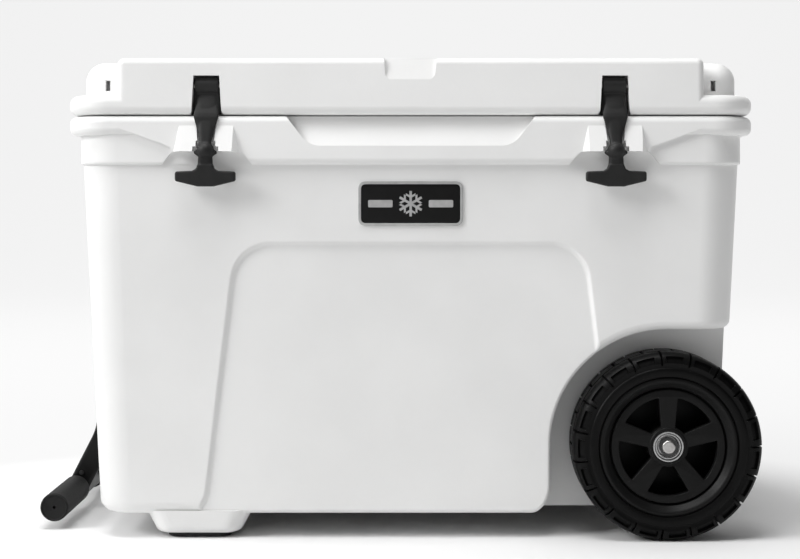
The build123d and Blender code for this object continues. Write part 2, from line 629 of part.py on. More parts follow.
def wheel_bearings(side):
    """The two bearings in one hub, with a groove between the races on each outer face."""
    rings = []
    for z0 in (HUB_FACE_Y - BEARING_WIDTH, WHEEL_BACK_Y + 1):
        z1 = z0 + BEARING_WIDTH
        ring = along_z(tube(0, 0, BEARING_RADIUS, AXLE_RADIUS + RUNNING_GAP), z0, z1)
        for face in (z0, z1 - 0.8):
            ring -= along_z(tube(0, 0, 13.2, 10.2), face, face + 0.8)
        rings.append(on_axle(ring, side).solid())
    return Compound(rings)


def wheel_spacers():
    ring = along_y(tube(AXLE_X, AXLE_Z, 12, AXLE_RADIUS + RUNNING_GAP), -WHEEL_BACK_Y - 0.6,
                   -WELL_WALL_Y)
    return Compound([ring.solid(), mirror(ring, Plane.XZ).solid()])


def axle():
    rod = along_y(disc(AXLE_X, AXLE_Z, AXLE_RADIUS), -AXLE_END_Y, AXLE_END_Y)
    ends = rod.edges().filter_by(GeomType.CIRCLE)
    rod = fillet(ends, 2)
    groove = along_y(tube(AXLE_X, AXLE_Z, AXLE_RADIUS + 1, AXLE_RADIUS - 1), -CLIP_Y - 1.3, -CLIP_Y)
    return rod - both_sides(groove)


def axle_clips():
    ring = along_y(tube(AXLE_X, AXLE_Z, 9.6, AXLE_RADIUS - 1), -CLIP_Y - 1.3, -CLIP_Y)
    return Compound([ring.solid(), mirror(ring, Plane.XZ).solid()])


# Tow handle

def arm_outline():
    path = FilletPolyline((PIVOT_X, PIVOT_Z), (PIVOT_X, ARM_BEND_Z), (BAR_X, BAR_Z), radius=70)
    return trace(path, ARM_WIDE) + disc(PIVOT_X, PIVOT_Z, ARM_WIDE / 2)


def handle_arm(side):
    y0, y1 = ARM_Y - ARM_THICK / 2, ARM_Y + ARM_THICK / 2
    arm = along_y(arm_outline(), y0, y1)
    arm = fillet(arm.edges().filter_by(Axis.Y, reverse=True), ARM_ROUND)
    arm -= along_y(disc(BAR_X, BAR_Z, BAR_RADIUS), y0, y1)
    arm -= along_y(disc(PIVOT_X, PIVOT_Z, BUSH_RADIUS), y0, y1)
    arm -= along_y(disc(*HANDLE_SCREW, HANDLE_SCREW_RADIUS), y1 - 6, y1)
    return arm if side > 0 else mirror(arm, Plane.XZ)


def handle_screws():
    face = ARM_Y + ARM_THICK / 2
    shank = along_y(disc(*HANDLE_SCREW, HANDLE_SCREW_RADIUS), face - 6, face)
    screw = shank + along_y(disc(*HANDLE_SCREW, HANDLE_SCREW_HEAD), face, face + 1.4)
    return Compound([screw.solid(), mirror(screw, Plane.XZ).solid()])


def handle_crossbar():
    """A tube across the arms, turned down where the grips are pushed on."""
    shoulder = ARM_Y + ARM_THICK / 2
    bar = along_y(disc(BAR_X, BAR_Z, BAR_RADIUS), -shoulder, shoulder)
    bar += along_y(disc(BAR_X, BAR_Z, BAR_RADIUS - 2), -GRIP_Y[1] + 5, GRIP_Y[1] - 5)
    return bar - along_y(disc(BAR_X, BAR_Z, BAR_RADIUS - 4), -GRIP_Y[1], GRIP_Y[1])


def grip(side):
    """A soft sleeve, closed at its outer end but for a small vent hole."""
    sleeve = along_y(disc(BAR_X, BAR_Z, GRIP_RADIUS), GRIP_Y[0], GRIP_Y[1])
    sleeve = fillet(sleeve.edges().filter_by(GeomType.CIRCLE), 2.5)
    sleeve -= along_y(disc(BAR_X, BAR_Z, BAR_RADIUS - 2), GRIP_Y[0], GRIP_Y[1] - 5)
    sleeve -= along_y(disc(BAR_X, BAR_Z, 2), GRIP_Y[1] - 6, GRIP_Y[1])
    return sleeve if side > 0 else mirror(sleeve, Plane.XZ)


def handle_bushes():
    """A flanged bush in each arm."""
    y0, y1 = ARM_Y - ARM_THICK / 2, ARM_Y + ARM_THICK / 2
    inner = PIVOT_ROD_RADIUS + RUNNING_GAP
    bush = along_y(tube(PIVOT_X, PIVOT_Z, BUSH_RADIUS, inner), y0, y1)
    bush += along_y(tube(PIVOT_X, PIVOT_Z, BUSH_RADIUS + 2.5, inner), y1, y1 + 1)
    return Compound([bush.solid(), mirror(bush, Plane.XZ).solid()])


def handle_spacer():
    half = ARM_Y - ARM_THICK / 2
    return along_y(tube(PIVOT_X, PIVOT_Z, 9, PIVOT_ROD_RADIUS + RUNNING_GAP), -half, half)


def handle_pivot_rod():
    return along_y(disc(PIVOT_X, PIVOT_Z, PIVOT_ROD_RADIUS), -LUG_FACE_Y - 2.5, LUG_FACE_Y + 2.5)


def handle_rod_caps():
    cup = along_y(disc(PIVOT_X, PIVOT_Z, 8.5), LUG_FACE_Y, LUG_FACE_Y + 4.5)
    outer = cup.edges().filter_by(lambda e: e.center().Y > LUG_FACE_Y + 4)
    cup = fillet(outer, 2)
    cup -= along_y(disc(PIVOT_X, PIVOT_Z, PIVOT_ROD_RADIUS), LUG_FACE_Y, LUG_FACE_Y + 2.5)
    return Compound([cup.solid(), mirror(cup, Plane.XZ).solid()])


# Drain

def drain_plug():
    """A screw-in plug with a finger bar across its head."""
    head_x = DRAIN_FACE_X - DRAIN_GASKET
    stem = along_x(disc(DRAIN_Y, DRAIN_Z, DRAIN_RADIUS), head_x, head_x + 28)
    head = along_x(disc(DRAIN_Y, DRAIN_Z, 21), head_x - 6, head_x)
    head = fillet(head.edges().filter_by(lambda e: e.center().X < head_x - 5), 2)
    bar = block((head_x - 16, head_x - 5), (DRAIN_Y - 17, DRAIN_Y + 17), (DRAIN_Z - 4, DRAIN_Z + 4))
    return stem + head + fillet(bar.edges().filter_by(Axis.X), 2.5)


def drain_gasket():
    return along_x(tube(DRAIN_Y, DRAIN_Z, 19, DRAIN_RADIUS + 0.3), DRAIN_FACE_X - DRAIN_GASKET,
                   DRAIN_FACE_X)


def save(name, shape):
    placed = Pos(FRAME_X, 0, 0) * shape
    export_step(placed, f"parts/{name}.step")


os.makedirs("parts", exist_ok=True)
chest_foam = foam()
save("body_foam", chest_foam)
save("body_shell", body_shell(chest_foam))
save("foot_pad_front", foot_pad(-1))
save("foot_pad_rear", foot_pad(1))
save("foot_pad_screws", foot_pad_screws())
save("nameplate", nameplate())
lid_core = lid_foam()
save("lid_foam", lid_core)
save("lid_shell", lid_shell(lid_core))
save("lid_gasket", gasket_ring(RIM_TOP_Z + 0.2, LID_Z + 4))
for end, x in (("left", -LATCH_X), ("right", LATCH_X)):
    save("latch_" + end, latch(x))
    save("latch_pin_" + end, latch_pin(x))
for end, x in (("left", -HINGE_X), ("right", HINGE_X)):
    save("hinge_pin_" + end, hinge_pin(x))
save("hinge_pin_screws", hinge_pin_screws())
save("axle", axle())
save("axle_clips", axle_clips())
save("wheel_spacers", wheel_spacers())
for end, side in (("front", -1), ("rear", 1)):
    save("tyre_" + end, tyre(side))
    save("wheel_rim_" + end, wheel_rim(side))
    save("wheel_bearings_" + end, wheel_bearings(side))
    save("handle_arm_" + end, handle_arm(side))
    save("grip_" + end, grip(side))
save("handle_crossbar", handle_crossbar())
save("handle_bushes", handle_bushes())
save("handle_spacer", handle_spacer())
save("handle_screws", handle_screws())
save("handle_pivot_rod", handle_pivot_rod())
save("handle_rod_caps", handle_rod_caps())
save("drain_plug", drain_plug())
save("drain_gasket", drain_gasket())
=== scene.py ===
"""The looks of a wheeled ice chest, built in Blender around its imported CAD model.

Lengths are in metres, in the CAD model's frame: +Z up, latches towards -Y, wheels towards +X.
"""

import math

import bmesh
import bpy
from mathutils import Matrix, Vector


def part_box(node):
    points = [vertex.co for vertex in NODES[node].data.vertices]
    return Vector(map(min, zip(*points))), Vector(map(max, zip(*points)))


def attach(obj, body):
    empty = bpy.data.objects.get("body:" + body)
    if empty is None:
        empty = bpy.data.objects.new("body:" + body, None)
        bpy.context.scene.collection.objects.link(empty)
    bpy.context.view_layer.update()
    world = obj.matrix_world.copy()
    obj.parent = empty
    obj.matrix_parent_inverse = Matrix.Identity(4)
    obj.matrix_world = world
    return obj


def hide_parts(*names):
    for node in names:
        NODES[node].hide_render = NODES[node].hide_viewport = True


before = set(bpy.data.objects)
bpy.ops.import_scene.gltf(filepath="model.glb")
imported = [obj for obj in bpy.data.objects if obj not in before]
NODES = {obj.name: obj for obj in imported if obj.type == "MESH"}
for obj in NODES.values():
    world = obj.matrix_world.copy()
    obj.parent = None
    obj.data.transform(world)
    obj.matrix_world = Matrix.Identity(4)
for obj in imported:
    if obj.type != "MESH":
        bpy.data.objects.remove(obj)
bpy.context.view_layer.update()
MM = 0.001
SHARP = math.radians(32)  # edges that turn by more than this are shaded as sharp
LONGEST_CORNER = 0.45  # a rounded corner takes at most this share of each side
SECTION_POINTS = 28


# ---------------------------------------------------------------- camera, floor and lights

CAMERA_PLACE = Vector((0.010, -1.911, 0.3445))
LENS_MM, SENSOR_MM = 74.1, 36
SHIFT = (-0.006, -0.093)
# Each light: where it stands, what it faces, its two sides in metres and its power in watts
LIGHTS = {
    "key": ((-3.0, -1.7, 2.3), (0, 0, 0.25), (1.5, 1.5), 95),
    "top": ((-0.4, -0.7, 2.5), (-0.05, -0.1, 0.4), (1.6, 1.0), 36),
    "back": ((0.0, 1.2, 3.2), (0, 5.8, 1.3), (6.0, 2.0), 196),
}
# The world's strength along two axes: from which direction to which, and its two ends
WORLD_ALONG_Y = ((-0.55, 0.25), (0.24, 1.1))
WORLD_ALONG_X = ((-0.1, 0.7), (1.0, 0.18))
FLOOR_HALF_X, FLOOR_Y = 9.0, (-6.0, 4.0)
SWEEP_RADIUS, SWEEP_TOP, SWEEP_STEPS = 2.0, 6.0, 12
# The floor takes shadow inside this ellipse round the object, and glows outside it
SHADOW_REACH, SHADOW_FADE = (0.46, 0.33), (1.0, 1.45)
FLOOR_PAINT, FLOOR_GLOW = (0.80, 0.12), (0.0, 0.75)


def link(obj):
    bpy.context.scene.collection.objects.link(obj)
    return obj


def make_camera():
    """Level, square on to the front, and framed low, so that the floor shows a little."""
    data = bpy.data.cameras.new("camera")
    data.lens = LENS_MM
    data.sensor_width = SENSOR_MM
    data.shift_x, data.shift_y = SHIFT
    camera = link(bpy.data.objects.new("camera", data))
    camera.location = CAMERA_PLACE
    camera.rotation_euler = (math.radians(90), 0, 0)
    bpy.context.scene.camera = camera


def area_light(name, place, target, size, power):
    data = bpy.data.lights.new(name, "AREA")
    data.energy = power
    data.shape = "RECTANGLE"
    data.size, data.size_y = size
    light = link(bpy.data.objects.new(name, data))
    light.location = place
    light.rotation_mode = "QUATERNION"
    light.rotation_quaternion = (Vector(target) - Vector(place)).to_track_quat("-Z", "Y")


def map_range(nodes, source, target):
    """A node that maps one range of numbers to another."""
    reach = nodes.new("ShaderNodeMapRange")
    for socket, value in (("From Min", source[0]), ("From Max", source[1]),
                          ("To Min", target[0]), ("To Max", target[1])):
        reach.inputs[socket].default_value = value
    return reach


def make_floor():
    """A pale sweep: a flat floor that curves up far behind the object."""
    made = bmesh.new()
    front, back = FLOOR_Y
    line = [(front, 0.0), (back, 0.0)]
    for step in range(1, SWEEP_STEPS + 1):
        turn = step / SWEEP_STEPS * math.pi / 2
        line.append((back + SWEEP_RADIUS * math.sin(turn), SWEEP_RADIUS * (1 - math.cos(turn))))
    line.append((back + SWEEP_RADIUS, SWEEP_TOP))
    rows = [[made.verts.new((x, y, z)) for y, z in line] for x in (-FLOOR_HALF_X, FLOOR_HALF_X)]
    for left_a, left_b, right_a, right_b in zip(rows[0], rows[0][1:], rows[1], rows[1][1:]):
        made.faces.new((left_a, right_a, right_b, left_b)).smooth = True
    floor = link(bpy.data.objects.new("floor", bpy.data.meshes.new("floor")))
    made.to_mesh(floor.data)
    made.free()
    floor.data.materials.append(floor_paint())


def floor_paint():
    """Matte white that takes the shadow near the object and gives its own light farther out."""
    material, shader = new_material("floor_paint", 0.9)
    shader.inputs["Specular IOR Level"].default_value = 0.1
    shader.inputs["Emission Strength"].default_value = 1.0
    nodes, links = material.node_tree.nodes, material.node_tree.links
    place = nodes.new("ShaderNodeTexCoord")
    scaled, far = nodes.new("ShaderNodeVectorMath"), nodes.new("ShaderNodeVectorMath")
    scaled.operation, far.operation = "MULTIPLY", "LENGTH"
    scaled.inputs[1].default_value = (1 / SHADOW_REACH[0], 1 / SHADOW_REACH[1], 0)
    links.new(place.outputs["Object"], scaled.inputs[0])
    links.new(scaled.outputs["Vector"], far.inputs[0])
    for socket, ends in (("Base Color", FLOOR_PAINT), ("Emission Color", FLOOR_GLOW)):
        reach = map_range(nodes, SHADOW_FADE, ends)
        links.new(far.outputs["Value"], reach.inputs["Value"])
        links.new(reach.outputs["Result"], shader.inputs[socket])
    return material


def world_slope(world, axis, span, ends):
    """A strength that runs between two ends, over a span of a direction's part along an axis."""
    nodes, links = world.node_tree.nodes, world.node_tree.links
    place = nodes.new("ShaderNodeTexCoord")
    split = nodes.new("ShaderNodeSeparateXYZ")
    reach = map_range(nodes, span, ends)
    links.new(place.outputs["Generated"], split.inputs["Vector"])
    links.new(split.outputs[axis], reach.inputs["Value"])
    return reach.outputs["Result"]


def make_lights():
    """A white studio: dim behind the camera and to the right, bright above and behind."""
    bpy.context.scene.view_settings.view_transform = "Standard"
    world = bpy.data.worlds.new("world")
    bpy.context.scene.world = world
    world.use_nodes = True
    nodes, links = world.node_tree.nodes, world.node_tree.links
    background = nodes["Background"]
    background.inputs["Color"].default_value = (1, 1, 1, 1)
    both = nodes.new("ShaderNodeMath")
    both.operation = "MULTIPLY"
    links.new(world_slope(world, "Y", *WORLD_ALONG_Y), both.inputs[0])
    links.new(world_slope(world, "X", *WORLD_ALONG_X), both.inputs[1])
    links.new(both.outputs["Value"], background.inputs["Strength"])
    for name, (place, target, size, power) in LIGHTS.items():
        area_light(name, place, target, size, power)


# ---------------------------------------------------------------- materials

NOISE_SPAN, NOISE_MIDDLE = (0.3, 0.7), (0.35, 0.65)


def new_material(name, roughness, metallic=0.0):
    material = bpy.data.materials.new(name)
    material.use_nodes = True
    shader = material.node_tree.nodes["Principled BSDF"]
    shader.inputs["Roughness"].default_value = roughness
    shader.inputs["Metallic"].default_value = metallic
    return material, shader


def noise(material, scale, detail, stretch=(1, 1, 1)):
    """A noise texture that sticks to the object, its scale in features a metre."""
    nodes, links = material.node_tree.nodes, material.node_tree.links
    place = nodes.new("ShaderNodeTexCoord")
    mapping = nodes.new("ShaderNodeMapping")
    mapping.inputs["Scale"].default_value = stretch
    texture = nodes.new("ShaderNodeTexNoise")
    texture.inputs["Scale"].default_value = scale
    texture.inputs["Detail"].default_value = detail
    links.new(place.outputs["Object"], mapping.inputs["Vector"])
    links.new(mapping.outputs["Vector"], texture.inputs["Vector"])
    return texture


def ramp(material, source, low, high):
    """Maps a grey value to a range of colours."""
    made = material.node_tree.nodes.new("ShaderNodeValToRGB")
    for stop, place, colour in zip(made.color_ramp.elements, NOISE_MIDDLE, (low, high)):
        stop.position = place
        stop.color = (*colour, 1)
    material.node_tree.links.new(source, made.inputs["Fac"])
    return made.outputs["Color"]


def spread(material, source, low, high):
    """Maps a grey value to a range of numbers."""
    made = map_range(material.node_tree.nodes, NOISE_SPAN, (low, high))
    material.node_tree.links.new(source, made.inputs["Value"])
    return made.outputs["Result"]


def bump(material, shader, sources):
    """Adds up bumps, each a (height output, depth in metres)."""
    nodes, links = material.node_tree.nodes, material.node_tree.links
    last = None
    for source, depth in sources:
        made = nodes.new("ShaderNodeBump")
        made.inputs["Strength"].default_value = 1.0
        made.inputs["Distance"].default_value = depth
        links.new(source, made.inputs["Height"])
        if last:
            links.new(last, made.inputs["Normal"])
        last = made.outputs["Normal"]
    links.new(last, shader.inputs["Normal"])


def finish_of(name, dark, light, roughness, metallic=0.0, patch=14, grain=900, depth=0.02,
              ripple=None, stretch=(1, 1, 1), specular=0.5):
    """A moulded, cast or drawn finish: slow patches of tone, uneven gloss and a fine grain.
    Patch and grain are in features a metre, depth in mm, and ripple is a (scale, depth) pair."""
    middle = sum(roughness) / 2
    material, shader = new_material(name, middle, metallic)
    shader.inputs["Specular IOR Level"].default_value = specular
    links = material.node_tree.links
    slow = noise(material, patch, 4)
    fine = noise(material, grain, 3, stretch)
    links.new(ramp(material, slow.outputs["Fac"], dark, light), shader.inputs["Base Color"])
    links.new(spread(material, fine.outputs["Fac"], *roughness), shader.inputs["Roughness"])
    sources = [(fine.outputs["Fac"], depth * MM)]
    if ripple:
        sources.append((noise(material, ripple[0], 2).outputs["Fac"], ripple[1] * MM))
    bump(material, shader, sources)
    return material


def grey(value):
    return (value, value, value)


def make_materials():
    return {
        "shell": finish_of("moulded_white", (0.800, 0.800, 0.795), (0.835, 0.835, 0.83),
                           (0.36, 0.46), patch=9, grain=1100, depth=0.03, ripple=(130, 0.10),
                           specular=0.42),
        "foam": finish_of("insulation", (0.72, 0.68, 0.52), (0.80, 0.76, 0.60), (0.85, 0.95),
                          grain=500, depth=0.2),
        "seal": finish_of("seal_rubber", grey(0.10), grey(0.14), (0.6, 0.75)),
        "latch": finish_of("latch_rubber", grey(0.010), grey(0.014), (0.46, 0.6), patch=60,
                           grain=1500, depth=0.03, specular=0.3),
        "foot": finish_of("foot_rubber", grey(0.018), grey(0.028), (0.65, 0.8), patch=60,
                          depth=0.06, specular=0.3),
        "grip": finish_of("grip_rubber", grey(0.010), grey(0.014), (0.62, 0.74), patch=50,
                          grain=1300, depth=0.06, specular=0.2),
        "tyre": finish_of("tyre_rubber", grey(0.002), grey(0.0035), (0.32, 0.46), patch=30,
                          grain=700, depth=0.05, specular=0.12),
        "wheel": finish_of("wheel_plastic", grey(0.0055), grey(0.0075), (0.34, 0.46), patch=30,
                           grain=1300, depth=0.03, specular=0.14),
        "black": finish_of("black_plastic", grey(0.014), grey(0.02), (0.4, 0.55), specular=0.3),
        "bearing": finish_of("bearing_steel", grey(0.42), grey(0.55), (0.24, 0.38), 1.0,
                             patch=200, grain=1400, depth=0.01),
        "steel": finish_of("steel", (0.48, 0.47, 0.46), (0.6, 0.59, 0.58), (0.28, 0.42), 1.0,
                           patch=120, grain=1500, stretch=(0.3, 1, 1.8)),
        # Dark steel for the handle screws; on the axle clips this dark grey is painted shade
        # standing in for the recess round the axle
        "dark_steel_and_painted_shade": finish_of("dark_steel_and_painted_shade", grey(0.05), grey(0.08), (0.3, 0.42), 0.9),
        "arm": finish_of("arm_paint", grey(0.004), grey(0.006), (0.28, 0.40), patch=40,
                         grain=1600, depth=0.03, specular=0.22),
        "bar": finish_of("bar_aluminium", grey(0.11), grey(0.14), (0.42, 0.6), 0.6, patch=60,
                         grain=1800, depth=0.03),
        "border": finish_of("plate_border", grey(0.40), grey(0.47), (0.34, 0.46), 0.35,
                            patch=120, grain=1800, depth=0.01),
        "field": finish_of("plate_field", grey(0.003), grey(0.0045), (0.32, 0.42), patch=80,
                           grain=1500, depth=0.01, specular=0.2),
    }


# ---------------------------------------------------------------- mesh tools

def new_piece(name, made, material, body, stands_for=()):
    """Turns a bmesh into a piece that rides on a body."""
    bmesh.ops.recalc_face_normals(made, faces=made.faces)
    mesh = bpy.data.meshes.new(name)
    made.to_mesh(mesh)
    made.free()
    for face in mesh.polygons:
        face.use_smooth = True
    mesh.set_sharp_from_angle(angle=SHARP)
    mesh.materials.append(material)
    piece = link(bpy.data.objects.new(name, mesh))
    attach(piece, body)
    if stands_for:
        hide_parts(*stands_for)
    return piece


def spin(made, profile, centre, segments, outward):
    """Turns a closed loop of (radius, distance out) about a line along Y through centre."""
    rings = []
    for step in range(segments):
        turn = 2 * math.pi * step / segments
        rings.append([made.verts.new((centre.x + r * math.cos(turn), centre.y + outward * y,
                                      centre.z + r * math.sin(turn))) for r, y in profile])
    join_rings(made, rings, closed=True)
    bmesh.ops.remove_doubles(made, verts=[v for ring in rings for v in ring], dist=1e-7)


def join_rings(made, rings, closed, loop=True):
    """Quads between successive rings of points."""
    count = len(rings[0])
    ends = len(rings) if closed else len(rings) - 1
    for step in range(ends):
        here, there = rings[step], rings[(step + 1) % len(rings)]
        for i in range(count if loop else count - 1):
            j = (i + 1) % count
            made.faces.new((here[i], here[j], there[j], there[i]))


def soften(profile, radius, steps):
    """Rounds the corners of a closed loop of points, each with a curve of some steps."""
    points = [Vector(p) for p in profile]
    made = []
    for i, corner in enumerate(points):
        before, after = points[i - 1] - corner, points[(i + 1) % len(points)] - corner
        reach = min(radius, before.length * LONGEST_CORNER, after.length * LONGEST_CORNER)
        a, b = corner + before.normalized() * reach, corner + after.normalized() * reach
        for step in range(steps + 1):
            t = step / steps
            made.append(tuple((1 - t) ** 2 * a + 2 * t * (1 - t) * corner + t * t * b))
    return made


def outline_piece(outlines, thickness, bevel, steps=3):
    """A bmesh of a flat shape with holes, drawn in (x, z), with rounded edges. It is centred
    on y = 0."""
    curve = bpy.data.curves.new("outline", "CURVE")
    curve.dimensions = "2D"
    curve.fill_mode = "BOTH"
    curve.extrude = thickness / 2 - bevel
    curve.bevel_depth = bevel
    curve.bevel_resolution = steps
    curve.offset = -bevel
    for points in outlines:
        line = curve.splines.new("POLY")
        line.points.add(len(points) - 1)
        for point, (x, z) in zip(line.points, points):
            point.co = (x, z, 0, 1)
        line.use_cyclic_u = True
    holder = bpy.data.objects.new("outline", curve)
    mesh = bpy.data.meshes.new_from_object(holder)
    made = bmesh.new()
    made.from_mesh(mesh)
    bpy.data.objects.remove(holder)
    bpy.data.curves.remove(curve)
    bpy.data.meshes.remove(mesh)
    bmesh.ops.remove_doubles(made, verts=made.verts, dist=1e-6)
    bmesh.ops.rotate(made, verts=made.verts, cent=(0, 0, 0),
                     matrix=Matrix.Rotation(math.pi / 2, 3, "X"))
    return made


def add(made, other, matrix=Matrix.Identity(4)):
    """Copies another bmesh into this one, and frees it."""
    mesh = bpy.data.meshes.new("part")
    other.transform(matrix)
    other.to_mesh(mesh)
    other.free()
    made.from_mesh(mesh)
    bpy.data.meshes.remove(mesh)


def section(centre, half_x, half_y, power):
    """A level ring of points round a centre: an oval at power 2, and more of a box above it."""
    ring = []
    for step in range(SECTION_POINTS):
        turn = 2 * math.pi * (step + 0.5) / SECTION_POINTS
        c, s = math.cos(turn), math.sin(turn)
        ring.append(centre + Vector((math.copysign(abs(c) ** (2 / power), c) * half_x,
                                     math.copysign(abs(s) ** (2 / power), s) * half_y, 0)))
    return ring


def loft(made, rings):
    """A closed tube through rings of points."""
    rows = [[made.verts.new(p) for p in ring] for ring in rings]
    join_rings(made, rows, closed=False)
    made.faces.new(list(reversed(rows[0])))
    made.faces.new(rows[-1])


def middle(node):
    low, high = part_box(node)
    return (low + high) / 2


# ---------------------------------------------------------------- wheels

# The tread repeats in pitches round the tyre. Places in a pitch run from 0 to 1.
PITCHES = 19
GAP, GAP_WALL = 0.03, 0.045
POCKET, POCKET_WALL = (0.262, 0.838), (0.24, 0.86)
MID_GAP, MID_GAP_WALL = (0.47, 0.53), (0.455, 0.545)
PLAIN_COLUMNS = (0.14, 0.36, 0.65, 0.75, 0.92)  # between the cuts, to keep the tread round
GROOVE_DEEP, POCKET_DEEP = 4.0 * MM, 3.0 * MM
# Across one half of the tyre, bead to middle: radius and distance out in mm, then what is cut
TYRE_HALF = (
    (71.5, 228.6, ""), (72.2, 229.9, ""), (74.0, 230.6, ""), (78.5, 230.8, ""),
    (80.4, 230.3, ""), (81.2, 229.6, ""), (83.6, 229.5, ""), (85.0, 230.2, "gap"),
    (86.2, 230.3, "gap"), (86.8, 230.1, "pocket"), (89.5, 229.0, "pocket"),
    (92.4, 227.4, "pocket"), (93.0, 226.9, "gap"), (94.8, 225.2, "gap"), (96.0, 223.0, "gap"),
    (96.8, 220.0, "gap"), (97.0, 216.0, "gap"), (97.0, 210.4, "gap"), (97.0, 209.8, "groove"),
    (97.0, 207.4, "groove"), (97.0, 206.8, "mid"), (97.0, 200.0, "mid"), (97.0, 197.5, "mid"))


def tread_depth(along, cut):
    """How far below the tyre's surface a point lies, by its place in one pitch."""
    deep = 0.0
    if cut in ("gap", "pocket") and min(along, 1 - along) <= GAP:
        deep = GROOVE_DEEP
    if cut == "pocket" and POCKET[0] <= along <= POCKET[1]:
        deep = max(deep, POCKET_DEEP)
    if cut == "groove" or cut == "mid" and MID_GAP[0] <= along <= MID_GAP[1]:
        deep = GROOVE_DEEP
    return deep


def tyre_profile(mid):
    """The whole loop across the tyre, with each point's outward normal."""
    half = [(r * MM, d * MM, cut) for r, d, cut in TYRE_HALF]
    loop = half + [(r, 2 * mid - d, cut) for r, d, cut in reversed(half[:-1])]
    made = []
    for i, (r, d, cut) in enumerate(loop):
        before, after = loop[max(i - 1, 0)], loop[min(i + 1, len(loop) - 1)]
        along = Vector((after[0] - before[0], after[1] - before[1])).normalized()
        made.append((r, d, cut, Vector((-along.y, along.x))))
    return made


def make_tyre(end, outward):
    centre = middle("tyre_" + end)
    profile = tyre_profile(abs(centre.y))
    places = sorted({0.0, GAP, GAP_WALL, *POCKET, *POCKET_WALL, *MID_GAP, *MID_GAP_WALL,
                     *PLAIN_COLUMNS, 1 - GAP_WALL, 1 - GAP})
    made = bmesh.new()
    rings = []
    for pitch in range(PITCHES):
        for along in places:
            turn = 2 * math.pi * (pitch + along) / PITCHES
            ring = []
            for r, d, cut, out in profile:
                deep = tread_depth(along, cut)
                radius, far = r - deep * abs(out.x), d - deep * out.y
                ring.append(made.verts.new((centre.x + radius * math.cos(turn), outward * far,
                                            centre.z + radius * math.sin(turn))))
            rings.append(ring)
    join_rings(made, rings, closed=True)
    new_piece("tread_tyre_" + end, made, LOOKS["tyre"], "wheel_" + end,
              ["tyre_" + end])


def arc(radius, start, stop, steps):
    return [(radius * math.cos(start + (stop - start) * i / steps),
             radius * math.sin(start + (stop - start) * i / steps)) for i in range(steps + 1)]


SPOKES = 5
PITCH_ANGLE = 2 * math.pi / SPOKES
# The windows between the spokes, in mm: the radius of their near and far edge, then half the
# spoke's width there and how far along the spoke that is
WINDOW_NEAR, SPOKE_NEAR = 20.8, (7.2, 19.5)
WINDOW_FAR, SPOKE_FAR = 50.4, (9.9, 49.3)
WINDOW_CORNER = 2.4
SPOKE_PLATE_RADIUS, SPOKE_PLATE_HOLE, SPOKE_PLATE_OUT = 58.4, 15.4, 219.5
SPOKE_PLATE_THICK, SPOKE_PLATE_BEVEL = 9.0, 1.1
RIB_SIZE, RIB_RADIUS, RIB_OUT = (46, 44, 5), 42, 194
# Loops turned about the axle, each point a (radius, distance out from the chest's middle) in mm.
# The rim's loops, each with the radius of its corners, are the dish, the hub and the back disc.
RIM_RINGS = (
    (((59.6, 219), (60.2, 222.6), (62.4, 224.6), (65.8, 228.2), (68.0, 229.4), (69.8, 228.8),
      (71.5, 227.6), (71.5, 166), (66.5, 166), (65.5, 212), (57, 213), (57, 219)), 1.2),
    (((15.6, 215), (15.6, 224.9), (18.2, 224.9), (20.6, 223), (20.6, 166), (9.8, 166),
      (9.8, 215)), 0.8),
    (((9.8, 170), (66.5, 170), (66.5, 173), (9.8, 173)), 0.4))
BEARING_RINGS = (
    ((13.6, 216), (15.5, 216), (15.5, 225), (13.9, 225), (13.6, 224)),
    ((10.7, 216), (13.5, 216), (13.5, 223.2), (12.9, 223.9), (11.6, 223.9), (10.7, 223)),
    ((7.1, 216), (10.6, 216), (10.6, 219.6), (7.1, 219.6)),
    ((7.1, 165), (15.5, 165), (15.5, 174), (7.1, 174)))
BEARING_CORNER = 0.35
RIM_SEGMENTS, BEARING_SEGMENTS, GRIP_SEGMENTS = 128, 96, 72


def turning_centre(node):
    """A node's middle, moved along Y into the chest's middle plane."""
    centre = middle(node)
    return Vector((centre.x, 0, centre.z))


def turned_loop(made, loop, corner, steps, centre, segments, outward):
    """Turns a loop of points in mm about a line along Y, with its corners rounded."""
    line = soften([(r * MM, d * MM) for r, d in loop], corner * MM, steps)
    spin(made, line, centre, segments, outward)


def wheel_window(facing):
    """The opening between two spokes, facing an angle."""
    half = PITCH_ANGLE / 2
    inner = math.atan2(*SPOKE_NEAR)
    outer = math.atan2(*SPOKE_FAR)
    near = arc(WINDOW_NEAR * MM, facing - half + inner, facing + half - inner, 5)
    far = arc(WINDOW_FAR * MM, facing + half - outer, facing - half + outer, 14)
    return soften(near + far, WINDOW_CORNER * MM, 3)


def circle(radius, steps):
    """A full turn of points, for a radius in mm."""
    return arc(radius * MM, 0, 2 * math.pi, steps)[:-1]


